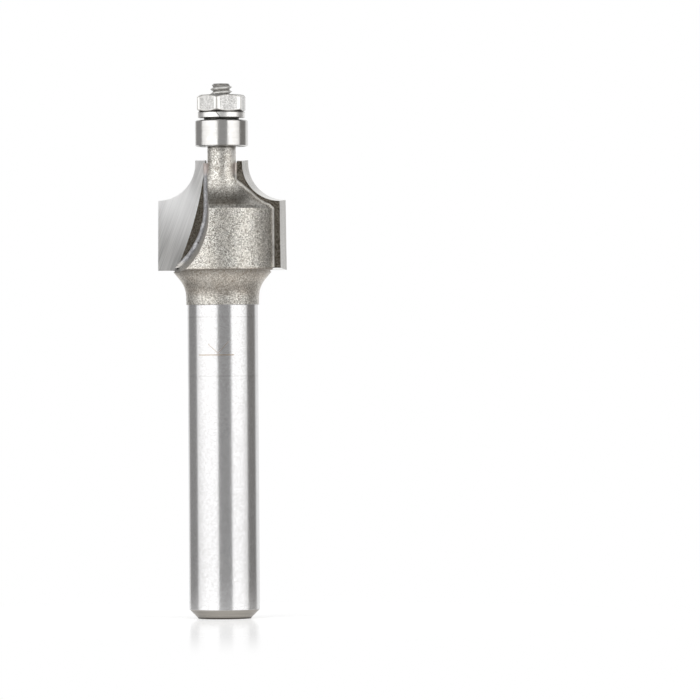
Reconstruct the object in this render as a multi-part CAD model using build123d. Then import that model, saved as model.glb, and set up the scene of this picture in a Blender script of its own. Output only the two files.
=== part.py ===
from build123d import *
import os
from math import cos, radians, sin, tan

# A two-wing round-over router bit with a guide bearing, standing on the end of its shank.
# Sizes are in millimetres. The axis of rotation is Z, pointing up to the nut, and the origin is the
# centre of the shank's end face. Wing 1 points along -X and cuts towards -Y, and wing 2 is opposite.

# Shank and the blasted collar above it
shank_d = 6.35
shank_length = 28.2
shank_chamfer = 0.83
collar_d = 6.54
collar_length = 0.8
collar_taper_angle = 1.5
flare_radius = 2.4
flare_angle = 40.0

# Ring that backs the cutting plates
ring_rise = 3.10
ring_d = 9.46
ring_height = 5.82
ring_low_chamfer = 0.08
ring_top_chamfer = 0.30

# Concave flank from the ring up to the neck: a low shoulder, then a cone blended round at each end
knee_in = 0.68
knee_rise = 0.25
knee_blend = 2.8
flank_angle = 45.0
neck_blend = 1.6

# Neck, bearing seat and stud
neck_d = 2.56
bearing_rise = 11.14
stud_root_d = 1.50
stud_past_nut = 1.00
stud_tip_chamfer = 0.10

# Gullets: each is milled with a straight wall beside the neck that sweeps out below in an arc.
# The cutter leaned outwards and down, so the open side of a gullet is wider than its floor.
wing_count = 2
gullet_wall_x = 1.33
gullet_straight = 4.25
gullet_radius = 7.5
gullet_sweep_angle = 60.0
gullet_above_plate = 0.25
gullet_lean_out = 0.05
gullet_lean_down = 0.18
gullet_reach = 7.0

# Cutting plates
plate_thickness = 1.25
plate_height = 9.90
profile_radius = 3.35
cutting_d = 11.46
cutting_d_taper = 0.11
profile_flat = 0.25
relief_in = 0.56
relief_down = 0.11
relief_up = 0.20
rake_step = 0.08
rake_arc_radius = 32.0
rake_arc_in = 0.04
rake_arc_rise = 3.36

# Braze
braze_film = 0.04
bead_radius = 0.22
bead_sides = 8
edge_bead = 0.14
neck_fill = 0.14
neck_fill_depth = 1.15
braze_end = 0.25

# Guide bearing
bearing_od = 4.7625
bearing_bore = 2.38125
bearing_width = 2.38125
bearing_corner = 0.10
ball_d = 0.79375
ball_count = 7
race_conformity = 0.54
race_clearance = 0.01
land_drop = 0.25
seat_clearance = 0.01
shield_rebate_d = 4.34
shield_thickness = 0.12
shield_recess = 0.05
shield_gap = 0.06
bore_chamfer = 0.05
cage_wall = 0.33
cage_height = 0.70
cage_below_balls = 0.16
cage_pocket_clearance = 0.015

# Fasteners above the bearing
shim_d = 3.15
shim_bore = 2.08
shim_thickness = 0.20
washer_d = 4.26
washer_bore = 2.12
washer_thickness = 0.53
washer_split = 0.05
washer_split_slant = 38.0
washer_split_turn = -97.0
washer_edge = 0.05
nut_across_flats = 4.0
nut_height = 1.55
nut_bore = 1.60
nut_face_share = 0.96
nut_chamfer_angle = 30.0
nut_countersink = 0.18
nut_turn = 20.4

ring_r = ring_d / 2
shank_r = shank_d / 2
collar_r = collar_d / 2
neck_r = neck_d / 2
seat_r = bearing_bore / 2 - seat_clearance
pitch_r = (bearing_od + bearing_bore) / 4
ball_r = ball_d / 2
groove_r = race_conformity * ball_d
ring_bottom_z = shank_length + ring_rise
ring_top_z = ring_bottom_z + ring_height
neck_top_z = ring_bottom_z + bearing_rise
plate_top_z = ring_bottom_z + plate_height
gullet_top_z = plate_top_z + gullet_above_plate
gullet_tangent_z = gullet_top_z - gullet_straight
bearing_mid_z = neck_top_z + bearing_width / 2
bearing_top_z = neck_top_z + bearing_width
shim_top_z = bearing_top_z + shim_thickness
washer_top_z = shim_top_z + washer_thickness
stud_tip_z = washer_top_z + nut_height + stud_past_nut


def revolved(outline):
    """The solid of a closed outline in radius and height, turned about Z."""
    return revolve(Plane.XZ * make_face(outline), Axis.Z)


def flank_line():
    """The concave flank's outline, from the ring's top chamfer up to the neck's top."""
    shoulder = (ring_r - ring_top_chamfer, ring_top_z)
    knee = (shoulder[0] - knee_in, ring_top_z + knee_rise)
    foot = (neck_r, knee[1] + (knee[0] - neck_r) * tan(radians(flank_angle)))
    corners = (shoulder, knee, foot, (neck_r, neck_top_z))
    return FilletPolyline(*corners, radius=(knee_blend, neck_blend))


def turned_body():
    """Everything that the lathe makes, before the gullets are milled."""
    flare_start_z = shank_length + collar_length
    taper = radians(collar_taper_angle)
    flare_start = (collar_r + collar_length * tan(taper), flare_start_z)
    flare = JernArc(flare_start, (sin(taper), cos(taper)), flare_radius, collar_taper_angle - flare_angle)
    cone_height = ring_bottom_z - flare.end_of_arc.Y
    shoulder_r = flare.end_of_arc.X + cone_height * tan(radians(flare_angle))
    flank = flank_line()
    below = Polyline(
        (0, 0),
        (shank_r - shank_chamfer, 0),
        (shank_r, shank_chamfer),
        (shank_r, shank_length),
        (collar_r, shank_length),
        flare_start,
    )
    ring_side = Polyline(
        flare @ 1,
        (shoulder_r, ring_bottom_z),
        (ring_r - ring_low_chamfer, ring_bottom_z),
        (ring_r, ring_bottom_z + ring_low_chamfer),
        (ring_r, ring_top_z - ring_top_chamfer),
        flank @ 0,
    )
    above = Polyline(
        flank @ 1,
        (seat_r, neck_top_z),
        (seat_r, bearing_top_z),
        (stud_root_d / 2, bearing_top_z),
        (stud_root_d / 2, stud_tip_z - stud_tip_chamfer),
        (stud_root_d / 2 - stud_tip_chamfer, stud_tip_z),
        (0, stud_tip_z),
        (0, 0),
    )
    return revolved(below + flare + ring_side + flank + above)


def gullet_wall(offset=0.0):
    """The gullet's wall seen along Y, moved into the gullet by an offset."""
    radius = gullet_radius - offset
    centre = (gullet_wall_x + gullet_radius, gullet_tangent_z)
    straight = Line((gullet_wall_x + offset, gullet_top_z), (gullet_wall_x + offset, gullet_tangent_z))
    return straight + CenterArc(centre, radius, 180, gullet_sweep_angle)


def gullet_face(offset=0.0, y=0.0):
    """All that lies outside the gullet's wall, in the plane at y."""
    wall = gullet_wall(offset)
    end = wall @ 1
    outside = Polyline(end, (ring_d, end.Y), (ring_d, gullet_top_z), wall @ 0)
    return Plane.XZ.offset(-y) * make_face(wall + outside)


def along(face, x, y, z):
    """A face drawn out along a slanted direction."""
    shift = Vector(x, y, z)
    return extrude(face, amount=shift.length, dir=shift)


def gullet():
    """The seat behind a cutting plate and the chip gullet in front of it, for the wing along +X."""
    seat = along(gullet_face(), 0, -plate_thickness, 0)
    lean = (-gullet_lean_out * gullet_reach, gullet_reach, -gullet_lean_down * gullet_reach)
    return seat + along(gullet_face(), *lean)


def each_wing(piece):
    """A piece made for the wing along +X, turned to each wing in order. Wing 1 is along -X."""
    turns = [180 - wing * 360 / wing_count for wing in range(wing_count)]
    return [Rot(0, 0, turn) * piece for turn in turns]


def cutter_body():
    """One piece of steel: shank, collar, ring, neck, bearing seat and stud, with the gullets milled in."""
    body = turned_body()
    for cut in each_wing(gullet()):
        body -= cut
    return body


def profile_face():
    """The cutting outline on the rake plane, with its inner side beyond the gullet's wall."""
    outer_r = cutting_d / 2
    tip_r = outer_r - profile_radius
    centre = (outer_r, plate_top_z - profile_flat)
    arc = CenterArc(centre, profile_radius, 180, 90)
    low_z = ring_bottom_z - relief_up
    rest = Polyline(
        arc @ 1,
        (outer_r + cutting_d_taper / 2, ring_bottom_z),
        (outer_r + cutting_d_taper / 2, low_z),
        (0, low_z),
        (0, plate_top_z),
        (tip_r, plate_top_z),
        arc @ 0,
    )
    return Plane.XZ * make_face(arc + rest)


def ground_region():
    """What the grinding wheel takes off the rake face, which leaves a low step along the braze."""
    centre_x = gullet_wall_x - rake_arc_in + rake_arc_radius
    centre_z = plate_top_z + rake_arc_rise
    return Pos(centre_x, rake_step, centre_z) * Rot(90, 0, 0) * Cylinder(rake_arc_radius, 2 * rake_step)


def carbide_tip():
    """A cutting plate: profile ground with relief behind the edge, seated against the gullet's wall."""
    blank = along(gullet_face(braze_film, rake_step), 0, braze_film - plate_thickness - rake_step, 0)
    depth = plate_thickness - braze_film + rake_step
    slope = depth / plate_thickness
    front = Pos(relief_in * rake_step / plate_thickness, rake_step, relief_down * rake_step / plate_thickness)
    relieved = along(front * profile_face(), -relief_in * slope, -depth, -relief_down * slope)
    under = Plane.YZ.offset(-ring_d) * make_face(
        Polyline(
            (rake_step, ring_bottom_z - relief_up * rake_step / plate_thickness),
            (-plate_thickness, ring_bottom_z + relief_up),
            (-plate_thickness, ring_bottom_z - 2 * relief_up),
            (rake_step, ring_bottom_z - 2 * relief_up),
            close=True,
        )
    )
    return blank & relieved - along(under, 2 * ring_d, 0, 0) - ground_region()


def bead_behind(turned):
    """A ring of braze just outside the steel, where it meets the back of a plate."""
    flank = flank_line()
    core_r = neck_r / 2
    rest = Polyline(
        flank @ 1,
        (core_r, neck_top_z),
        (core_r, ring_bottom_z),
        (ring_r, ring_bottom_z),
        (ring_r, ring_top_z - ring_top_chamfer),
        flank @ 0,
    )
    grown = offset(make_face(flank + rest), edge_bead, kind=Kind.INTERSECTION)
    return revolve(Plane.XZ * grown, Axis.Z) - turned


def braze_seam(body, plate):
    """Braze under a plate and beside it, with a bead along the gullet's wall and one behind the plate."""
    turned = turned_body()
    back_y = braze_film - plate_thickness
    under = turned & along(gullet_face(0, back_y), 0, -braze_film, 0)
    plate_side = along(gullet_face(braze_film), 0, -plate_thickness, 0)
    side = turned & along(gullet_face(), 0, -plate_thickness, 0)
    beside_neck = along(gullet_face(-neck_fill), 0, -neck_fill_depth, 0)
    wall = Plane.XZ.offset(-rake_step) * gullet_wall(braze_film)
    bead = sweep(Plane(origin=wall @ 0, z_dir=wall % 0) * RegularPolygon(bead_radius, bead_sides), path=wall)
    edge = bead_behind(turned) & along(gullet_face(0, back_y), 0, -braze_film - edge_bead, 0)
    mid_z = ring_bottom_z + plate_height / 2
    height = Pos(0, 0, mid_z) * Box(2 * ring_d, 2 * ring_d, plate_height - 2 * braze_end)
    seam = under + (side - plate_side) + (beside_neck - plate_side) + bead + edge
    return (seam & height) - body - plate


def ring_of(outer_r, inner_r, height, mid_z):
    """A plain ring about Z."""
    return Pos(0, 0, mid_z) * (Cylinder(outer_r, height) - Cylinder(inner_r, 2 * height))


def end_circles(piece, radius):
    """The circular edges of a piece that have a radius."""
    circles = piece.edges().filter_by(GeomType.CIRCLE)
    return [edge for edge in circles if abs(edge.radius - radius) < 1e-6]


def race_groove(centre_r):
    """The round groove that the balls run in."""
    return Pos(0, 0, bearing_mid_z) * Torus(centre_r, groove_r)


def bearing_outer_ring():
    """Outer ring, with a raceway inside and a rebate at each end for a shield."""
    ring = ring_of(bearing_od / 2, pitch_r + land_drop, bearing_width, bearing_mid_z)
    ring = chamfer(end_circles(ring, bearing_od / 2), bearing_corner)
    for side in (-1, 1):
        rebate_z = bearing_mid_z + side * bearing_width / 2
        ring -= Pos(0, 0, rebate_z) * Cylinder(shield_rebate_d / 2, 2 * (shield_recess + shield_thickness))
    return ring - race_groove(pitch_r + ball_r + race_clearance - groove_r)


def bearing_inner_ring():
    """Inner ring, which slides over the bearing seat and is clamped by the nut."""
    ring = ring_of(pitch_r - land_drop, bearing_bore / 2, bearing_width, bearing_mid_z)
    ring = chamfer(end_circles(ring, bearing_bore / 2), bore_chamfer)
    return ring - race_groove(pitch_r - ball_r - race_clearance + groove_r)


def bearing_shield(side):
    """Pressed steel disc held in the outer ring's rebate, clear of the inner ring."""
    mid_z = bearing_mid_z + side * (bearing_width / 2 - shield_recess - shield_thickness / 2)
    return ring_of(shield_rebate_d / 2, pitch_r - land_drop + shield_gap, shield_thickness, mid_z)


def ball_places():
    """The turns about Z and the centres of the balls."""
    turns = [360 * ball / ball_count for ball in range(ball_count)]
    return [Rot(0, 0, turn) * Pos(pitch_r, 0, bearing_mid_z) for turn in turns]


def bearing_cage():
    """Crown cage: a low ring with a round pocket through its wall for each ball, open at the top."""
    low_z = bearing_mid_z - ball_r - cage_below_balls
    cage = ring_of(pitch_r + cage_wall / 2, pitch_r - cage_wall / 2, cage_height, low_z + cage_height / 2)
    for place in ball_places():
        cage -= place * Rot(0, 90, 0) * Cylinder(ball_r + cage_pocket_clearance, ball_d)
    return cage


def spacer_shim():
    """Thin ring that bears on the inner ring alone, so that the outer ring turns freely."""
    return ring_of(shim_d / 2, shim_bore / 2, shim_thickness, bearing_top_z + shim_thickness / 2)


def lock_washer():
    """Split spring washer, flattened by the nut, with its slanted split to the front."""
    washer = ring_of(washer_d / 2, washer_bore / 2, washer_thickness, shim_top_z + washer_thickness / 2)
    washer = chamfer(end_circles(washer, washer_d / 2), washer_edge)
    slit = Rot(washer_split_slant, 0, 0) * Box(washer_d, washer_split, 4 * washer_thickness)
    mid = Pos(washer_d / 2, 0, shim_top_z + washer_thickness / 2)
    return washer - Rot(0, 0, washer_split_turn) * mid * slit


def hex_nut():
    """Hexagon nut with its corners turned off at both ends and its bore countersunk."""
    corner_r = nut_across_flats / 2 / cos(radians(30))
    face_r = nut_face_share * nut_across_flats / 2
    drop = (corner_r - face_r) * tan(radians(nut_chamfer_angle))
    turned = revolved(
        Polyline(
            (0, 0),
            (face_r, 0),
            (corner_r, drop),
            (corner_r, nut_height - drop),
            (face_r, nut_height),
            (0, nut_height),
            close=True,
        )
    )
    prism = extrude(RegularPolygon(corner_r, 6, rotation=nut_turn), nut_height)
    nut = (turned & prism) - Cylinder(nut_bore / 2, 3 * nut_height)
    nut = chamfer(end_circles(nut, nut_bore / 2), nut_countersink)
    return Pos(0, 0, washer_top_z) * nut


def router_bit():
    """Every piece by its node's name."""
    body = cutter_body()
    plate = carbide_tip()
    nodes = {"cutter_body": body}
    for number, tip in enumerate(each_wing(plate), 1):
        nodes[f"carbide_tip_{number}"] = tip
    for number, seam in enumerate(each_wing(braze_seam(body, plate)), 1):
        nodes[f"braze_seam_{number}"] = seam
    nodes["bearing_outer_ring"] = bearing_outer_ring()
    nodes["bearing_inner_ring"] = bearing_inner_ring()
    nodes["bearing_shield_lower"] = bearing_shield(-1)
    nodes["bearing_shield_upper"] = bearing_shield(1)
    nodes["bearing_cage"] = bearing_cage()
    for number, place in enumerate(ball_places(), 1):
        nodes[f"bearing_ball_{number}"] = place * Sphere(ball_r)
    nodes["spacer_shim"] = spacer_shim()
    nodes["lock_washer"] = lock_washer()
    nodes["hex_nut"] = hex_nut()
    return nodes


os.makedirs("parts", exist_ok=True)
for name, piece in router_bit().items():
    export_step(piece, f"parts/{name}.step")
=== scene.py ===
from math import asin, cos, pi, radians, sin

import bmesh
import bpy
from mathutils import Matrix, Vector, noise


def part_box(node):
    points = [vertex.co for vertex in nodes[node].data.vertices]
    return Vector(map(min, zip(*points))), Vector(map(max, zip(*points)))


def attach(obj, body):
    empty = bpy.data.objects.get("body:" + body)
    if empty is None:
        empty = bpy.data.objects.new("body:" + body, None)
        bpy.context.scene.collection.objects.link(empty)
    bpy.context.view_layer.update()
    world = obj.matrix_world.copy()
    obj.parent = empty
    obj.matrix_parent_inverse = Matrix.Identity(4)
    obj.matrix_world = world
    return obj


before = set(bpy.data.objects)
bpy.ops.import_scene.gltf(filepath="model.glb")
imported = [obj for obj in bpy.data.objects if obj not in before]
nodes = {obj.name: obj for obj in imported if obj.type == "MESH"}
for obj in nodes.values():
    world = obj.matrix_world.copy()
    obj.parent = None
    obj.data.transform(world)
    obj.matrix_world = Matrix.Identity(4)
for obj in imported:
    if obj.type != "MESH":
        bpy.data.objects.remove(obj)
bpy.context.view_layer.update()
mm = 0.001

# The body is one piece of tool steel. Its shank is ground bright to fit a collet, and everything
# from the collar to the neck is turned, milled for the two wings and then blasted with fine grit.
# The depth line and arrow on the shank are burnt in with a laser, which leaves them golden brown.
shank_radius = 3.175
shank_top = 28.2
end_chamfer = 0.83
ring_low = 31.3
ring_high = 37.12
ring_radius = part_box("cutter_body")[1].y / mm
ring_bevel = 0.3
neck_radius = 1.28
neck_low = 39.84
neck_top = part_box("bearing_inner_ring")[0].z / mm
turned_outline = (
    (0.0, 0.0),
    (ring_low - 0.8, 3.6),
    (ring_low, 4.28),
    (ring_low + 0.02, ring_radius),
    (ring_high - ring_bevel, ring_radius),
    (ring_high, ring_radius - ring_bevel),
    (ring_high + 0.25, 3.75),
    (neck_low, neck_radius),
    (neck_top, neck_radius),
)
gullet_foot = (ring_low - 0.7, ring_low - 0.4)
mark_height = 23.7
mark_span = (-2.28, 1.05)
arrow_tip = (-0.40, 23.86)
arrow_ends = ((-1.28, 24.66), (0.57, 24.89))
mark_width = 0.036
stop_rings = ((27.1, 0.4), (21.8, 0.22))
tint_start = (28.6, 29.6)
flux_reach = (1.4, 2.6)
smear_and_light_turn = (radians(34), radians(50))
smear_and_light_height = (39.3, 40.1)
flank_low = 37.35
flank_middle = 38.0
flank_high = 39.75
flank_blend = 0.9
flank_hollow = 0.27
edge_rounding = 0.03
blasted_rounding = 0.06


def node(tree, kind, inputs=None, **settings):
    """A shader node with its settings, and with inputs that are set or linked."""
    made = tree.nodes.new("ShaderNode" + kind)
    for key, value in settings.items():
        setattr(made, key, value)
    for key, value in (inputs or {}).items():
        if isinstance(value, bpy.types.NodeSocket):
            tree.links.new(value, made.inputs[key])
        else:
            made.inputs[key].default_value = value
    return made


def calc(tree, operation, *values):
    """One Math node, whose inputs are numbers or sockets."""
    return node(tree, "Math", dict(enumerate(values)), operation=operation).outputs[0]


def away(tree, value, middle):
    """How far a value is from a middle one."""
    return calc(tree, "ABSOLUTE", calc(tree, "SUBTRACT", value, middle))


def fade(tree, value, first, last, start=0.0, end=1.0):
    """A smooth change from start to end while the value goes from first to last, up or down."""
    inputs = {0: value, 1: first, 2: last, 3: start, 4: end}
    return node(tree, "MapRange", inputs, interpolation_type="SMOOTHSTEP").outputs[0]


def band(tree, value, rise, fall, strength=1.0):
    """A mask that rises over one range of the value and falls over a later one."""
    rising = fade(tree, value, *rise, 0.0, strength)
    return calc(tree, "MULTIPLY", rising, fade(tree, value, *fall, 1.0, 0.0))


def mix(tree, factor, low, high):
    """A colour between two colours."""
    return node(tree, "Mix", {0: factor, 6: low, 7: high}, data_type="RGBA").outputs[2]


def level(tree, factor, low, high):
    """A number between two numbers."""
    return node(tree, "Mix", {0: factor, 2: low, 3: high}, data_type="FLOAT").outputs[0]


def vector(tree, x=0.0, y=0.0, z=0.0):
    """A vector from three numbers or sockets."""
    return node(tree, "CombineXYZ", {0: x, 1: y, 2: z}).outputs[0]


def colour(red, green, blue):
    """A colour as a photograph's 0 to 255 values give it, in the renderer's linear light."""
    values = [channel / 255 for channel in (red, green, blue)]
    return [v / 12.92 if v <= 0.04045 else ((v + 0.055) / 1.055) ** 2.4 for v in values] + [1.0]


def effect(name, inputs, outputs):
    """An empty node group, with its input sockets' values and the nodes that its parts join on to."""
    group = bpy.data.node_groups.new(name, "ShaderNodeTree")
    for label, value in inputs.items():
        kind = "NodeSocketVector" if label == "Position" else "NodeSocketFloat"
        socket = group.interface.new_socket(label, in_out="INPUT", socket_type=kind)
        if label != "Position":
            socket.default_value = value
    for label in outputs:
        group.interface.new_socket(label, in_out="OUTPUT", socket_type="NodeSocketFloat")
    return group, group.nodes.new("NodeGroupInput").outputs, group.nodes.new("NodeGroupOutput").inputs


def place(tree, group, **inputs):
    """A node group put into a material."""
    placed = tree.nodes.new("ShaderNodeGroup")
    placed.node_tree = group
    for key, value in inputs.items():
        socket = placed.inputs[key.capitalize()]
        if isinstance(value, bpy.types.NodeSocket):
            tree.links.new(value, socket)
        else:
            socket.default_value = value
    return placed.outputs


def grinding_lines():
    """Fine parallel lines left by a wheel: X runs along them and Y across, in millimetres."""
    inputs = {"Position": None, "Spacing": 0.05, "Length": 4.0}
    group, given, made = effect("grinding lines", inputs, ("Height", "Shade"))
    parts = node(group, "SeparateXYZ", {0: given["Position"]}).outputs
    along = calc(group, "DIVIDE", parts[0], given["Length"])
    across = calc(group, "DIVIDE", parts[1], given["Spacing"])
    fine = node(group, "TexNoise", {"Vector": vector(group, along, across), "Scale": 1.0, "Detail": 3.0})
    wide = vector(group, calc(group, "MULTIPLY", along, 0.6), calc(group, "MULTIPLY", across, 0.16))
    broad = node(group, "TexNoise", {"Vector": wide, "Scale": 1.0, "Detail": 2.0})
    group.links.new(fine.outputs["Fac"], made["Height"])
    both = calc(group, "ADD", fine.outputs["Fac"], broad.outputs["Fac"])
    group.links.new(fade(group, both, 0.7, 1.3), made["Shade"])
    return group


def blasted_grain():
    """Small round dents that grit leaves, with a softer unevenness under them."""
    group, given, made = effect("blasted grain", {"Position": None, "Size": 0.1}, ("Height", "Shade"))
    scale = calc(group, "DIVIDE", 1.0, given["Size"])
    inputs = {"Vector": given["Position"], "Scale": scale, "Detail": 2.0, "Roughness": 0.6}
    fine = node(group, "TexNoise", inputs)
    inputs = {"Vector": given["Position"], "Scale": calc(group, "MULTIPLY", scale, 0.35), "Detail": 1.0}
    coarse = node(group, "TexNoise", inputs)
    both = calc(group, "MULTIPLY_ADD", coarse.outputs["Fac"], 0.25, fine.outputs["Fac"])
    group.links.new(both, made["Height"])
    group.links.new(fade(group, both, 0.50, 0.75), made["Shade"])
    return group


def tarnish():
    """Slow cloudy differences in tone over a surface."""
    group, given, made = effect("tarnish", {"Position": None, "Size": 2.0}, ("Shade",))
    scale = calc(group, "DIVIDE", 1.0, given["Size"])
    inputs = {"Vector": given["Position"], "Scale": scale, "Detail": 3.0, "Roughness": 0.6}
    cloud = node(group, "TexNoise", inputs)
    group.links.new(fade(group, cloud.outputs["Fac"], 0.3, 0.7), made["Shade"])
    return group


lines_effect = grinding_lines()
grain_effect = blasted_grain()
tarnish_effect = tarnish()


def metal(name):
    """A new material: its tree, its shader and the position on the piece in millimetres."""
    material = bpy.data.materials.new(name)
    material.use_nodes = True
    tree = material.node_tree
    tree.nodes.clear()
    shader = node(tree, "BsdfPrincipled", {"Metallic": 1.0})
    node(tree, "OutputMaterial", {"Surface": shader.outputs[0]})
    spot = node(tree, "TexCoord").outputs["Object"]
    spot = node(tree, "VectorMath", {0: spot, 3: 1 / mm}, operation="SCALE").outputs[0]
    return material, tree, shader, spot


def rounded(tree, radius):
    """A surface direction that turns smoothly across sharp edges."""
    return node(tree, "Bevel", {"Radius": radius * mm}, samples=4).outputs[0]


def relief(tree, height, depth, normal):
    """A surface direction that follows a height, whose 1 is the depth in millimetres."""
    inputs = {"Height": height, "Distance": depth * mm, "Strength": 1.0, "Normal": normal}
    return node(tree, "Bump", inputs).outputs[0]


def finish(tree, shader, base, roughness, height, depth, normal=None):
    """Joins colour, roughness and surface height on to a shader."""
    bump = relief(tree, height, depth, normal or rounded(tree, edge_rounding))
    tree.links.new(base, shader.inputs["Base Color"])
    tree.links.new(roughness, shader.inputs["Roughness"])
    tree.links.new(bump, shader.inputs["Normal"])


def dress(name, material):
    """Gives a piece of the frame its material."""
    nodes[name].data.materials.clear()
    nodes[name].data.materials.append(material)


def unrolled(tree, spot, radius):
    """A round surface laid flat: the distance round it from the front, and the height."""
    x, y, z = node(tree, "SeparateXYZ", {0: spot}).outputs
    turn = calc(tree, "ARCTAN2", x, calc(tree, "MULTIPLY", y, -1.0))
    return calc(tree, "MULTIPLY", turn, radius), z


def from_axis(tree, spot):
    """The distance from the bit's axis."""
    flat = node(tree, "VectorMath", {0: spot, 1: (1, 1, 0)}, operation="MULTIPLY").outputs[0]
    return node(tree, "VectorMath", {0: flat}, operation="LENGTH").outputs["Value"]


def from_rake(tree, spot):
    """The distance in front of the nearer plate's rake face, and out along it from the axis."""
    x, y = node(tree, "SeparateXYZ", {0: spot}).outputs[:2]
    side = calc(tree, "SIGN", x)
    return calc(tree, "MULTIPLY", y, side), calc(tree, "MULTIPLY", x, side)


def milled_mask(tree, out, up):
    """A mask of the gullets, which lie inside the outline that the lathe left."""
    ramp = node(tree, "ValToRGB", {0: calc(tree, "DIVIDE", up, neck_top)})
    stops = ramp.color_ramp.elements
    while len(stops) < len(turned_outline):
        stops.new(1.0)
    for stop, (height, radius) in zip(stops, turned_outline):
        stop.position = height / neck_top
        stop.color = [radius / ring_radius] * 3 + [1.0]
    turned = calc(tree, "MULTIPLY", ramp.outputs[0], ring_radius)
    depth = calc(tree, "SUBTRACT", turned, out)
    return calc(tree, "MULTIPLY", fade(tree, depth, 0.05, 0.12), fade(tree, up, *gullet_foot))


def smear_and_light_mask(tree, front, sideways, up):
    """A mask of the solder run over the neck beside each plate's back, painted pale also as painted light
    where the plate's back shades the neck.
    """
    turn = calc(tree, "ARCTAN2", sideways, calc(tree, "MULTIPLY", front, -1.0))
    beside = band(tree, turn, smear_and_light_turn, (pi / 2, pi / 2 + 0.1))
    high = band(tree, up, smear_and_light_height, (neck_top - 0.4, neck_top - 0.15), 0.8)
    return calc(tree, "MULTIPLY", beside, high)


def stroke(tree, across, up, start, end):
    """A mask of a straight stroke on the shank, from one point to another."""
    run = (end[0] - start[0], end[1] - start[1])
    length = (run[0] ** 2 + run[1] ** 2) ** 0.5
    run = (run[0] / length, run[1] / length)
    dx = calc(tree, "SUBTRACT", across, start[0])
    dz = calc(tree, "SUBTRACT", up, start[1])
    along = calc(tree, "MULTIPLY_ADD", dx, run[0], calc(tree, "MULTIPLY", dz, run[1]))
    nearest = calc(tree, "MINIMUM", calc(tree, "MAXIMUM", along, 0.0), length)
    gap_x = calc(tree, "SUBTRACT", dx, calc(tree, "MULTIPLY", nearest, run[0]))
    gap_z = calc(tree, "SUBTRACT", dz, calc(tree, "MULTIPLY", nearest, run[1]))
    gap = calc(tree, "SQRT", calc(tree, "MULTIPLY_ADD", gap_x, gap_x, calc(tree, "MULTIPLY", gap_z, gap_z)))
    return fade(tree, gap, mark_width * 0.6, mark_width * 1.4, 1.0, 0.0)


def depth_marks(tree, across, up):
    """A mask of the depth line and, fainter, the arrow that points at it."""
    ends = [(side, mark_height) for side in mark_span]
    marks = calc(tree, "MULTIPLY", stroke(tree, across, up, *ends), 0.75)
    for leg in arrow_ends:
        faint = calc(tree, "MULTIPLY", stroke(tree, across, up, leg, arrow_tip), 0.4)
        marks = calc(tree, "MAXIMUM", marks, faint)
    return marks


def ground_colour(tree, up, lines, grain):
    """The shank's bright steel, with the faint rings where the grinding wheel stopped."""
    ground = mix(tree, grain["Shade"], colour(206, 205, 205), colour(222, 222, 223))
    for ring, strength in stop_rings:
        near = fade(tree, away(tree, up, ring), 0.02, 0.06, strength, 0.0)
        scratch = calc(tree, "MULTIPLY", near, lines["Shade"])
        ground = mix(tree, scratch, ground, colour(140, 136, 130))
    return ground


def turned_colour(tree, up, lines):
    """The turned end's duller steel, with a painted shadow at the very foot where it stands on the floor.
    """
    turned = mix(tree, lines["Shade"], colour(160, 156, 150), colour(190, 185, 178))
    # Painted shadow: the lowest fifth of a millimetre darkens where the bit touches the floor.
    return mix(tree, fade(tree, up, 0.06, 0.2, 0.85, 0.0), turned, colour(58, 52, 46))


def blasted_colour(tree, up, sideways, grain, cloud):
    """Blasted steel, tinted by the torch's heat on the collar, darkened by painted shadow under the ring
    and the bearing and by painted shade on the cone above the ring.
    """
    rough = mix(tree, grain["Shade"], colour(122, 116, 107), colour(255, 253, 247))
    rough = mix(tree, calc(tree, "MULTIPLY", cloud["Shade"], 0.25), rough, colour(214, 206, 193))
    tinted = band(tree, up, tint_start, (ring_low, ring_low + 0.4))
    tinted = calc(tree, "MULTIPLY", tinted, level(tree, cloud["Shade"], 0.38, 0.12))
    rough = mix(tree, tinted, rough, colour(196, 176, 154))

    # Painted shadow and shade, all in one dark colour: a dark line in the step under the ring, partly grit
    # and partly painted shadow; a painted shadow on the flare below it; painted shade on the cone above the
    # ring, standing in for the dark ceiling it would mirror; and a painted shadow on the neck under the
    # bearing.
    step_grit_and_shadow = fade(tree, away(tree, up, ring_low), 0.03, 0.16, 0.6, 0.0)
    under_ring_shadow = band(tree, up, (ring_low - 0.7, ring_low), (ring_low, ring_low + 0.1), 0.45)
    cone_shade = band(tree, up, (ring_high, ring_high + 0.1), (ring_high + 0.3, ring_high + 1.9), 0.5)
    cone_shade = calc(tree, "MULTIPLY", cone_shade, fade(tree, sideways, 1.6, 3.2, 1.0, 0.0))
    painted_shade = fade(tree, up, neck_top - 0.2, neck_top - 0.05, 0.0, 0.75)
    for mask in (step_grit_and_shadow, under_ring_shadow, cone_shade):
        painted_shade = calc(tree, "MAXIMUM", painted_shade, mask)
    return mix(tree, painted_shade, rough, colour(92, 84, 74))


def milled_colour(tree, front, grain):
    """The gullets' steel, stained by the flux near the plates."""
    clean = mix(tree, grain["Shade"], colour(118, 113, 105), colour(178, 173, 164))
    stained = mix(tree, grain["Shade"], colour(100, 97, 93), colour(170, 167, 163))
    return mix(tree, fade(tree, front, *flux_reach, 1.0, 0.0), clean, stained)


def flank_direction(tree, up, milled):
    """A surface direction that shades the cone above the ring as a hollow sweep."""
    smooth = rounded(tree, blasted_rounding)
    sweep = calc(tree, "SMOOTH_MIN", up, flank_high, flank_blend)
    sweep = calc(tree, "MAXIMUM", sweep, flank_low)
    sweep = calc(tree, "SUBTRACT", sweep, flank_middle)
    hollow = relief(tree, calc(tree, "MULTIPLY", sweep, sweep), flank_hollow, smooth)
    return node(tree, "Mix", {0: milled, 4: hollow, 5: smooth}, data_type="VECTOR").outputs[1]


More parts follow.
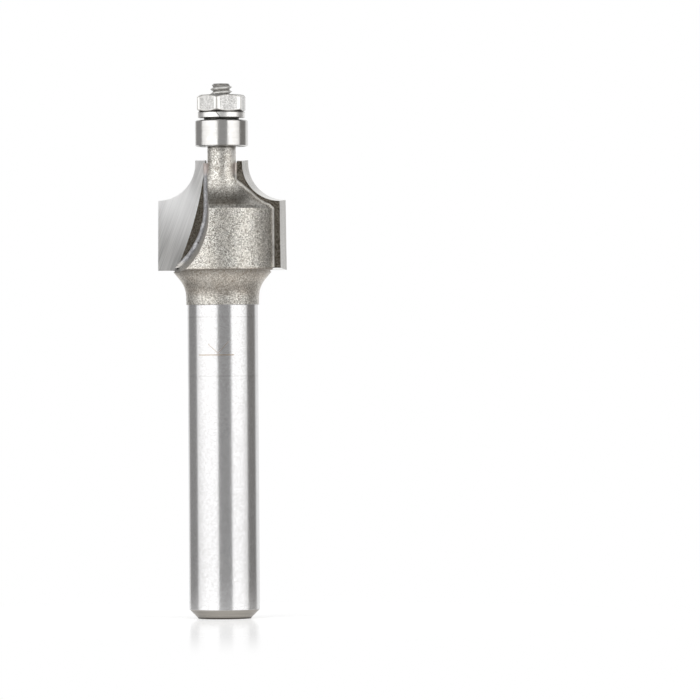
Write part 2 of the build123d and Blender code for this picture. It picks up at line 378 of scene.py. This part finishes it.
def body_steel():
    """The body's finish, from the turned end over the ground shank to the blasted neck."""
    material, tree, shader, spot = metal("body steel")
    across, up = unrolled(tree, spot, shank_radius)
    front, sideways = from_rake(tree, spot)
    lines = place(tree, lines_effect, position=vector(tree, across, up), spacing=0.035, length=9.0)
    grain = place(tree, grain_effect, position=spot, size=0.08)
    cloud = place(tree, tarnish_effect, position=spot, size=1.6)

    end = fade(tree, up, end_chamfer - 0.04, end_chamfer + 0.02, 1.0, 0.0)
    seat = fade(tree, up, neck_top - 0.02, neck_top + 0.02)
    blasted = calc(tree, "SUBTRACT", fade(tree, up, shank_top - 0.03, shank_top + 0.03), seat)
    milled = milled_mask(tree, from_axis(tree, spot), up)
    smear_and_light = smear_and_light_mask(tree, front, sideways, up)
    marks = depth_marks(tree, across, up)

    # Pale solder colour that is partly painted light, brightening the neck where the plate's back shades
    # it.
    solder_and_light_colour = mix(tree, grain["Shade"], colour(232, 228, 220), colour(255, 254, 250))
    rough = mix(tree, smear_and_light, blasted_colour(tree, up, sideways, grain, cloud), solder_and_light_colour)
    base = mix(tree, end, ground_colour(tree, up, lines, grain), turned_colour(tree, up, lines))
    base = mix(tree, blasted, base, rough)
    base = mix(tree, milled, base, milled_colour(tree, front, grain))
    base = mix(tree, marks, base, colour(166, 134, 88))

    roughness = level(tree, cloud["Shade"], 0.19, 0.22)
    for mask, value in ((end, 0.36), (blasted, 0.36), (milled, 0.38), (marks, 0.42)):
        roughness = level(tree, mask, roughness, value)

    ground_height = calc(tree, "MULTIPLY", lines["Height"], 0.003)
    turned_height = calc(tree, "MULTIPLY", lines["Height"], 0.25)
    height = level(tree, end, ground_height, turned_height)
    height = level(tree, blasted, height, grain["Height"])

    metallic = level(tree, smear_and_light, level(tree, blasted, 1.0, 0.95), 0.1)
    metallic = level(tree, milled, metallic, 0.15)
    tree.links.new(metallic, shader.inputs["Metallic"])
    finish(tree, shader, base, roughness, height, 0.024, flank_direction(tree, up, milled))
    return material


dress("cutter_body", body_steel())

# Each wing is a plate of tungsten carbide, pressed and sintered, which leaves its back and the strip
# beside the braze dull and dark. After brazing, a diamond wheel grinds the rake face and the relief
# behind the cutting edge, and leaves them pale with fine slanting lines.
plate_back = 1.21
unground_step = 0.08
wheel_lean = radians(20)
shade_slope = -0.9
shade_low = (34.2, 28.0)
shade_high = (35.0, 37.6)


def carbide():
    """Pale ground faces with painted shade across the rake face, and the dull skin that sintering leaves on
    the back and the strip.
    """
    material, tree, shader, spot = metal("carbide")
    front, out = from_rake(tree, spot)
    up = node(tree, "SeparateXYZ", {0: spot}).outputs[2]
    strip = fade(tree, front, unground_step * 0.3, unground_step * 0.6)
    back = fade(tree, front, 0.03 - plate_back, 0.01 - plate_back)
    sintered = calc(tree, "MAXIMUM", strip, back)
    rake = fade(tree, front, -0.03, -0.01)

    along = calc(tree, "MULTIPLY", out, -sin(wheel_lean))
    along = calc(tree, "MULTIPLY_ADD", up, cos(wheel_lean), along)
    across = calc(tree, "MULTIPLY", out, cos(wheel_lean))
    across = calc(tree, "MULTIPLY_ADD", up, sin(wheel_lean), across)
    wheel = place(tree, lines_effect, position=vector(tree, along, across), spacing=0.07, length=5.0)
    edge_lines = place(tree, lines_effect, position=vector(tree, up, front), spacing=0.06, length=8.0)
    grain = place(tree, grain_effect, position=spot, size=0.09)
    cloud = place(tree, tarnish_effect, position=spot, size=2.4)

    face = mix(tree, wheel["Shade"], colour(243, 243, 243), colour(255, 255, 255))
    # Painted shade: the rake face darkens towards its lower outer part and towards its top, for how the
    # light falls across it.
    slanted = calc(tree, "MULTIPLY_ADD", out, shade_slope, up)
    lower_painted_shade = mix(tree, wheel["Shade"], colour(134, 133, 131), colour(187, 186, 184))
    face = mix(tree, fade(tree, slanted, *shade_low, 0.0, 0.8), face, lower_painted_shade)
    upper_painted_shade = mix(tree, wheel["Shade"], colour(174, 173, 171), colour(224, 223, 221))
    face = mix(tree, fade(tree, slanted, *shade_high, 0.0, 0.65), face, upper_painted_shade)
    relieved = mix(tree, edge_lines["Shade"], colour(224, 223, 220), colour(246, 245, 242))
    dull = mix(tree, grain["Shade"], colour(74, 68, 59), colour(134, 128, 118))
    base = mix(tree, rake, relieved, face)
    base = mix(tree, sintered, base, dull)

    roughness = level(tree, cloud["Shade"], 0.62, 0.67)
    roughness = level(tree, rake, 0.24, roughness)
    roughness = level(tree, sintered, roughness, 0.55)
    ground_face = calc(tree, "MULTIPLY", rake, calc(tree, "SUBTRACT", 1.0, strip))
    tree.links.new(level(tree, ground_face, 1.0, 0.25), shader.inputs["Metallic"])
    height = level(tree, rake, edge_lines["Height"], wheel["Height"])
    height = calc(tree, "MULTIPLY", height, 0.25)
    height = level(tree, sintered, height, grain["Height"])
    finish(tree, shader, base, roughness, height, 0.012)
    return material


carbide_material = carbide()
for wing in (1, 2):
    dress(f"carbide_tip_{wing}", carbide_material)

# Silver solder holds each plate in its seat. It is melted in with a torch, and what squeezes out sets
# as a rippled bead along the gullet's wall and as a thin bright line behind the plate.
bead_x = 1.35
bead_y = 0.08
bead_top = 40.93
bend_height = 37.2
bend_radius = 7.46
bead_bottom = 31.62
bead_radius = 0.31
bead_ripple = 0.03
ripple_length = 0.35
ripple_shift = 7.0
bead_step = 0.06
bead_sides = 24
coppery_height = (39.6, 40.4)
foot_highlight_height = (32.3, 31.8)
pit = (-2.16, 0.0, 33.8)


def silver_braze():
    """Solder, bright behind the plate, coppery at the top, pitted once, and with a painted highlight at the
    foot.
    """
    material, tree, shader, spot = metal("silver braze")
    front = from_rake(tree, spot)[0]
    up = node(tree, "SeparateXYZ", {0: spot}).outputs[2]
    grain = place(tree, grain_effect, position=spot, size=0.12)
    cloud = place(tree, tarnish_effect, position=spot, size=0.6)
    base = mix(tree, cloud["Shade"], colour(156, 157, 160), colour(212, 212, 215))
    base = mix(tree, calc(tree, "MULTIPLY", grain["Shade"], 0.5), base, colour(110, 109, 109))
    seam_tone = mix(tree, cloud["Shade"], colour(186, 183, 178), colour(234, 231, 225))
    base = mix(tree, fade(tree, front, -0.8, -1.1), base, seam_tone)
    base = mix(tree, fade(tree, up, *coppery_height, 0.0, 0.55), base, colour(224, 206, 196))
    # Painted highlight: the bead's foot is painted near white.
    base = mix(tree, fade(tree, up, *foot_highlight_height, 0.0, 0.7), base, colour(240, 236, 228))
    side_view = node(tree, "VectorMath", {0: spot, 1: (1, 0, 1)}, operation="MULTIPLY").outputs[0]
    to_pit = node(tree, "VectorMath", {0: side_view, 1: pit}, operation="DISTANCE").outputs["Value"]
    base = mix(tree, fade(tree, to_pit, 0.05, 0.09, 0.9, 0.0), base, colour(62, 40, 30))
    roughness = level(tree, cloud["Shade"], 0.46, 0.36)
    shader.inputs["Metallic"].default_value = 0.5
    finish(tree, shader, base, roughness, grain["Height"], 0.045)
    return material


def new_piece(name, shape, material, body):
    """Makes an object of a shape that is in millimetres, smooth, closed and facing outwards."""
    bmesh.ops.remove_doubles(shape, verts=shape.verts, dist=1e-5)
    bmesh.ops.recalc_face_normals(shape, faces=shape.faces)
    bmesh.ops.scale(shape, vec=(mm, mm, mm), verts=shape.verts)
    for face in shape.faces:
        face.smooth = True
    mesh = bpy.data.meshes.new(name)
    shape.to_mesh(mesh)
    shape.free()
    mesh.materials.append(material)
    piece = bpy.data.objects.new(name, mesh)
    bpy.context.scene.collection.objects.link(piece)
    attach(piece, body)


def draw_on(shape, edges, **turn):
    """Spins or pushes a ring of edges on, and gives the ring that it ends in."""
    turn = {"cent": (0, 0, 0), "axis": (0, 0, 1), "angle": 0.0, "dvec": (0, 0, 0), **turn}
    made = bmesh.ops.spin(shape, geom=edges, **turn)
    return [part for part in made["geom_last"] if isinstance(part, bmesh.types.BMEdge)]


def braze_bead(wing):
    """The bead of one wing, modelled along +X and then turned to its wing."""
    shape = bmesh.new()
    start = Matrix.Translation((bead_x, bead_y, bead_top))
    bmesh.ops.create_circle(shape, segments=bead_sides, radius=bead_radius, cap_ends=True, matrix=start)
    straight = bead_top - bend_height
    steps = round(straight / bead_step)
    edges = draw_on(shape, shape.edges[:], dvec=(0, 0, -straight / steps), steps=steps)
    bend = asin((bend_height - bead_bottom) / bend_radius)
    centre = (bead_x + bend_radius, bead_y, bend_height)
    steps = round(bend * bend_radius / bead_step)
    edges = draw_on(shape, edges, cent=centre, axis=(0, -1, 0), angle=bend, steps=steps)
    bmesh.ops.contextual_create(shape, geom=edges)
    shape.normal_update()
    for vert in shape.verts:
        swell = noise.noise(vert.co / ripple_length + Vector((ripple_shift * wing, 0, 0)))
        swell += 0.5 * noise.noise(vert.co * 3 / ripple_length + Vector((0, ripple_shift * wing, 0)))
        vert.co += vert.normal * swell * bead_ripple
    bmesh.ops.rotate(shape, verts=shape.verts, matrix=Matrix.Rotation(pi * (2 - wing), 3, "Z"))
    new_piece(f"braze_bead_{wing}", shape, braze_material, "bit")


braze_material = silver_braze()
for wing in (1, 2):
    dress(f"braze_seam_{wing}", braze_material)
    braze_bead(wing)

# The guide bearing is a miniature shielded ball bearing, and the bit is guided by its outer ring.
# Both rings and the balls are through-hardened bearing steel, ground and then polished.
bearing_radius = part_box("bearing_outer_ring")[1].x / mm


def bearing_steel():
    """Bright steel with very fine lines round it."""
    material, tree, shader, spot = metal("bearing steel")
    round_it = vector(tree, *unrolled(tree, spot, bearing_radius))
    lines = place(tree, lines_effect, position=round_it, spacing=0.03, length=7.0)
    cloud = place(tree, tarnish_effect, position=spot, size=0.5)
    base = mix(tree, lines["Shade"], colour(205, 204, 202), colour(213, 212, 210))
    base = mix(tree, calc(tree, "MULTIPLY", cloud["Shade"], 0.25), base, colour(196, 194, 190))
    roughness = level(tree, cloud["Shade"], 0.17, 0.22)
    finish(tree, shader, base, roughness, lines["Height"], 0.0006)
    return material


bearing_material = bearing_steel()
balls = sorted(name for name in nodes if name.startswith("bearing_ball_"))
for name in ["bearing_outer_ring", "bearing_inner_ring", *balls]:
    dress(name, bearing_material)

# The shields are discs pressed from thin steel strip and snapped into the outer ring's rebates.
# They keep dust from the balls and turn with the outer ring, just clear of the inner one.


def shield_steel():
    """Plain strip with faint rings on its flat face."""
    material, tree, shader, spot = metal("shield steel")
    across = unrolled(tree, spot, bearing_radius)[0]
    rings = vector(tree, across, from_axis(tree, spot))
    lines = place(tree, lines_effect, position=rings, spacing=0.05, length=5.0)
    base = mix(tree, lines["Shade"], colour(176, 175, 172), colour(202, 201, 198))
    roughness = level(tree, lines["Shade"], 0.26, 0.34)
    finish(tree, shader, base, roughness, lines["Height"], 0.0015)
    return material


shield_material = shield_steel()
for name in ("bearing_shield_lower", "bearing_shield_upper"):
    dress(name, shield_material)

# The cage is a crown stamped from thin brass strip. Its open pockets are pressed over the balls, keep
# them evenly apart, and carry it round at about six tenths of the outer ring's speed.


def clouded_metal(name, size, dark, pale, roughness):
    """A small hidden piece's finish: cloudy metal without lines."""
    material, tree, shader, spot = metal(name)
    cloud = place(tree, tarnish_effect, position=spot, size=size)
    base = mix(tree, cloud["Shade"], dark, pale)
    finish(tree, shader, base, level(tree, cloud["Shade"], *roughness), cloud["Shade"], 0.002)
    return material


brass = clouded_metal("cage metal", 0.6, colour(176, 148, 92), colour(206, 180, 124), (0.38, 0.28))
dress("bearing_cage", brass)

# A thin shim of dark oiled spring steel lies on the inner ring, so that what is tightened above it
# doesn't drag on the outer ring.
oiled_steel = clouded_metal("shim steel", 0.5, colour(46, 45, 43), colour(74, 72, 68), (0.45, 0.35))
dress("spacer_shim", oiled_steel)

# A split spring washer and a hexagon nut clamp the bearing. Both are bright zinc-plated steel: the
# washer is coiled from wire and pressed flat, and the nut is cut from drawn bar and tumbled before
# it is plated, which leaves its six sides finely lined and dimpled, inside a near-white band at the
# corners.
nut_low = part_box("hex_nut")[0].z / mm
nut_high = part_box("hex_nut")[1].z / mm
nut_flat_radius = 2.0
nut_face_radius = 1.92
nut_corner_radius = 2.3
nut_slope = 0.577
rim_start = (2.15, 2.2)
rim_end = (2.24, 2.28)
dimples_end = (2.14, 2.2)
washer_top = (nut_low - 0.08, nut_low - 0.14)


def nut_flats(tree, out, up):
    """How far a point on a flat lies inside the arcs where the flat meets the nut's turned ends."""
    drop = calc(tree, "MULTIPLY", calc(tree, "SUBTRACT", out, nut_face_radius), nut_slope)
    below = calc(tree, "SUBTRACT", calc(tree, "SUBTRACT", nut_high, up), drop)
    above = calc(tree, "SUBTRACT", calc(tree, "SUBTRACT", up, nut_low), drop)
    return calc(tree, "MINIMUM", below, above)


def nut_lines(tree, out, inside):
    """A mask of the dark lines where the nut's flats meet each other and its turned ends."""
    arcs = band(tree, inside, (0.01, 0.02), (0.03, 0.08))
    corners = fade(tree, out, nut_corner_radius - 0.05, nut_corner_radius, 0.0, 0.5)
    corners = calc(tree, "MULTIPLY", corners, fade(tree, inside, 0.0, 0.02))
    return calc(tree, "MULTIPLY", calc(tree, "MAXIMUM", arcs, corners), 0.75)


def plated_steel():
    """Bright plating, worked over for the nut's flats and dark in the joint under the nut."""
    material, tree, shader, spot = metal("plated steel")
    across, up = unrolled(tree, spot, nut_flat_radius)
    out = from_axis(tree, spot)
    inside = nut_flats(tree, out, up)
    lines = place(tree, lines_effect, position=vector(tree, up, across), spacing=0.06, length=2.4)
    grain = place(tree, grain_effect, position=spot, size=0.07)
    cloud = place(tree, tarnish_effect, position=spot, size=0.6)
    base = mix(tree, lines["Shade"], colour(196, 195, 192), colour(238, 237, 235))
    base = mix(tree, calc(tree, "MULTIPLY", cloud["Shade"], 0.3), base, colour(208, 205, 198))
    dimples = fade(tree, out, *dimples_end, 0.7, 0.0)
    dimples = calc(tree, "MULTIPLY", dimples, fade(tree, inside, 0.08, 0.16))
    dimpled = mix(tree, grain["Shade"], colour(144, 143, 141), colour(232, 231, 229))
    base = mix(tree, dimples, base, dimpled)
    base = mix(tree, band(tree, out, rim_start, rim_end, 0.8), base, colour(252, 251, 249))
    base = mix(tree, fade(tree, up, *washer_top, 0.0, 0.8), base, colour(254, 253, 251))
    base = mix(tree, nut_lines(tree, out, inside), base, colour(92, 84, 74))
    joint = fade(tree, away(tree, up, nut_low), 0.02, 0.065, 0.75, 0.0)
    base = mix(tree, joint, base, colour(66, 54, 44))
    roughness = level(tree, lines["Shade"], 0.40, 0.30)
    finish(tree, shader, base, roughness, lines["Height"], 0.004)
    return material


plated_material = plated_steel()
for name in ("lock_washer", "hex_nut"):
    dress(name, plated_material)

# The stud that takes the nut is part of the body, with a fine right-hand thread cut on a lathe.
# Only the last turns show above the nut, and the thread runs out at the stud's chamfered tip.
thread_root = 0.74
thread_crest = 0.98
thread_sink = 0.05
thread_pitch = 0.4
thread_half_width = 0.17
crest_half_width = 0.025
thread_start = 46.59
thread_turns = 3.6
thread_steps = 40
stud_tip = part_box("cutter_body")[1].z / mm
tip_radius = 0.70


def thread_steel():
    """Freshly cut steel, with painted shade down in the thread's root."""
    material, tree, shader, spot = metal("thread steel")
    round_it = vector(tree, *unrolled(tree, spot, thread_crest))
    lines = place(tree, lines_effect, position=round_it, spacing=0.04, length=2.0)
    cloud = place(tree, tarnish_effect, position=spot, size=0.4)
    base = mix(tree, lines["Shade"], colour(226, 225, 222), colour(252, 251, 248))
    base = mix(tree, calc(tree, "MULTIPLY", cloud["Shade"], 0.3), base, colour(180, 176, 170))
    # Painted shade: the thread darkens down towards its root.
    root_shade = fade(tree, from_axis(tree, spot), thread_root + 0.02, thread_crest - 0.06, 0.5, 0.0)
    base = mix(tree, root_shade, base, colour(66, 62, 56))
    shader.inputs["Metallic"].default_value = 0.5
    roughness = level(tree, lines["Shade"], 0.34, 0.24)
    finish(tree, shader, base, roughness, lines["Height"], 0.004)
    return material


def stud_thread():
    """A ridge with a flat crest, spun up round the stud and turned down to its tip."""
    shape = bmesh.new()
    section = (
        (thread_root - thread_sink, -thread_half_width),
        (thread_root, -thread_half_width),
        (thread_crest, -crest_half_width),
        (thread_crest, crest_half_width),
        (thread_root, thread_half_width),
        (thread_root - thread_sink, thread_half_width),
    )
    verts = [shape.verts.new((radius, 0, thread_start + height)) for radius, height in section]
    face = shape.faces.new(verts)
    steps = round(thread_turns * thread_steps)
    rise = (0, 0, thread_pitch / thread_steps)
    edges = draw_on(shape, face.edges[:], angle=2 * pi * thread_turns, dvec=rise, steps=steps)
    bmesh.ops.contextual_create(shape, geom=edges)
    for vert in shape.verts:
        out = Vector((vert.co.x, vert.co.y, 0))
        most = tip_radius + max(stud_tip - vert.co.z, 0)
        if out.length > most:
            vert.co -= out * (1 - most / out.length)
        vert.co.z = min(vert.co.z, stud_tip)
    new_piece("stud_thread", shape, thread_steel(), "bit")


stud_thread()

# The bit stands on a white floor with a slight gloss, which shows a faint mirror image of its foot.
# Away from the bit the floor runs into the white background, and in front it is left dark for metal
# to mirror, as a table's edge would be.
floor_half = 1.5
lit_reach = (0.015, 0.05)
white_reach = (0.010, 0.045)
mirror_reach = (0.02, 0.075)
behind_right = (radians(126), radians(137))
behind_left = (radians(-143), radians(-151))


def grey(share):
    """A plain grey, from 0 for black to 1 for white, in linear light."""
    return [share, share, share, 1.0]


def behind(tree, x, y):
    """A mask of the directions behind the bit, from their sideways and depth parts."""
    turn = calc(tree, "ARCTAN2", x, calc(tree, "MULTIPLY", y, -1.0))
    return calc(tree, "MAXIMUM", fade(tree, turn, *behind_right), fade(tree, turn, *behind_left))


def floor_finish():
    """White in view, with the mirror image, and darker for metal to mirror."""
    material = bpy.data.materials.new("white floor")
    material.use_nodes = True
    tree = material.node_tree
    tree.nodes.clear()
    spot = node(tree, "TexCoord").outputs["Object"]
    x, y = node(tree, "SeparateXYZ", {0: spot}).outputs[:2]
    reach = node(tree, "VectorMath", {0: spot}, operation="LENGTH").outputs["Value"]
    matt = node(tree, "BsdfDiffuse", {"Color": grey(0.86)}).outputs[0]
    lift = node(tree, "Emission", {"Color": grey(1.0), "Strength": 0.50}).outputs[0]
    lit = node(tree, "AddShader", {0: matt, 1: lift}).outputs[0]
    white = node(tree, "Emission", {"Color": grey(1.0), "Strength": 1.0}).outputs[0]
    lit = node(tree, "MixShader", {0: fade(tree, reach, *white_reach), 1: lit, 2: white}).outputs[0]
    gloss = node(tree, "BsdfGlossy", {"Color": grey(1.0), "Roughness": 0.12}).outputs[0]
    mirror = fade(tree, reach, *mirror_reach, 0.30, 0.0)
    in_view = node(tree, "MixShader", {0: mirror, 1: lit, 2: gloss}).outputs[0]
    apart = fade(tree, reach, *lit_reach)
    inputs = {"Base Color": mix(tree, apart, grey(0.8), grey(0.4)), "Roughness": 0.06, "IOR": 1.5}
    # Painted light: near the bit the floor glows faintly in what metal mirrors, so the foot's chamfer
    # mirrors a floor brighter than the lamps leave it under the bit.
    inputs |= {"Emission Strength": level(tree, apart, 0.3, 0.0), "Emission Color": grey(1.0)}
    in_metal = node(tree, "BsdfPrincipled", inputs).outputs[0]
    in_metal = node(tree, "MixShader", {0: behind(tree, x, y), 1: in_metal, 2: in_view}).outputs[0]
    seen = node(tree, "LightPath").outputs["Is Camera Ray"]
    either = node(tree, "MixShader", {0: seen, 1: in_metal, 2: in_view}).outputs[0]
    node(tree, "OutputMaterial", {"Surface": either})
    return material


def floor():
    """The floor's flat sheet."""
    shape = bmesh.new()
    bmesh.ops.create_grid(shape, x_segments=2, y_segments=2, size=floor_half)
    mesh = bpy.data.meshes.new("floor")
    shape.to_mesh(mesh)
    shape.free()
    mesh.materials.append(floor_finish())
    surface = bpy.data.objects.new("floor", mesh)
    bpy.context.scene.collection.objects.link(surface)


floor()

# Two tall soft lights stand to the left and right of the camera, with a darker gap between them, and
# the room is darker at the sides than behind the bit. Metal mirrors them as upright bands.
light_distance = 0.6
light_height = 0.8
light_foot = -0.1
light_level = 1.36
left_light = (-16.4, -93.8)
right_light = (27.8, 86.0)
outer_level = 0.70
camera_gap = (-0.95, -0.2)
ceiling_edge = (0.28, 0.50)
ceiling_middle = (-0.5, 0.15)
ceiling_back = (0.55, 0.8)


def soft_light(name, inner, outer):
    """A flat lamp that fills the angles from inner to outer, counted from the camera's side."""
    middle = radians((inner + outer) / 2)
    half = abs(radians(outer - inner)) / 2
    width = 2 * light_distance * sin(half) / cos(half)
    lamp = bpy.data.lights.new(name, "AREA")
    lamp.shape = "RECTANGLE"
    lamp.size = width
    lamp.size_y = light_height
    lamp.energy = light_level * pi * width * light_height
    lamp.use_nodes = True
    tree = lamp.node_tree
    share = node(tree, "SeparateXYZ", {0: node(tree, "NewGeometry").outputs["Parametric"]}).outputs[0]
    outer_share = 0.0 if outer < inner else 1.0
    strength = fade(tree, share, 0.5, outer_share, 1.0, outer_level)
    tree.links.new(strength, tree.nodes["Emission"].inputs["Strength"])
    light = bpy.data.objects.new(name, lamp)
    light.location = Vector((sin(middle), -cos(middle), 0)) * light_distance
    light.location.z = light_height / 2 + light_foot
    light.rotation_euler = (pi / 2, 0, middle)
    light.visible_camera = False
    bpy.context.scene.collection.objects.link(light)


soft_light("left soft light", *left_light)
soft_light("right soft light", *right_light)


def room():
    """White behind the bit, a dim gap at the camera, darker sides and a dark ceiling."""
    world = bpy.data.worlds.new("room")
    bpy.context.scene.world = world
    world.use_nodes = True
    tree = world.node_tree
    tree.nodes.clear()
    way = node(tree, "TexCoord").outputs["Generated"]
    x, y, z = node(tree, "SeparateXYZ", {0: way}).outputs
    sides = mix(tree, fade(tree, x, -0.3, 0.3), (0.34, 0.335, 0.33, 1), (0.26, 0.25, 0.24, 1))
    shade = mix(tree, fade(tree, y, *camera_gap, 1.0, 0.0), sides, (0.40, 0.398, 0.395, 1))
    shade = mix(tree, behind(tree, x, y), shade, grey(1.0))
    above = mix(tree, fade(tree, y, *ceiling_middle), grey(0.72), grey(0.12))
    above = mix(tree, fade(tree, y, *ceiling_back), above, grey(0.9))
    shade = mix(tree, fade(tree, z, *ceiling_edge), shade, above)
    seen = node(tree, "LightPath").outputs["Is Camera Ray"]
    shade = mix(tree, seen, shade, grey(1.0))
    back = node(tree, "Background", {"Color": shade, "Strength": 1.0})
    node(tree, "OutputWorld", {"Surface": back.outputs[0]})


room()

# The camera stands level with the middle of the bit, a little to its right, with a long lens. It is
# rolled by the fraction of a degree that the photograph leans.
camera_distance = 0.590
camera_side = 0.01143
camera_height = 0.02406
camera_roll = radians(0.39)
lens = 337.2

eye = bpy.data.cameras.new("camera")
eye.lens = lens
eye.sensor_width = 36.0
eye.clip_start = 0.01
eye.clip_end = 20.0
camera = bpy.data.objects.new("camera", eye)
camera.location = (camera_side, -camera_distance, camera_height)
camera.rotation_euler = (pi / 2, camera_roll, 0)
bpy.context.scene.collection.objects.link(camera)
bpy.context.scene.camera = camera
bpy.context.scene.view_settings.view_transform = "Standard"
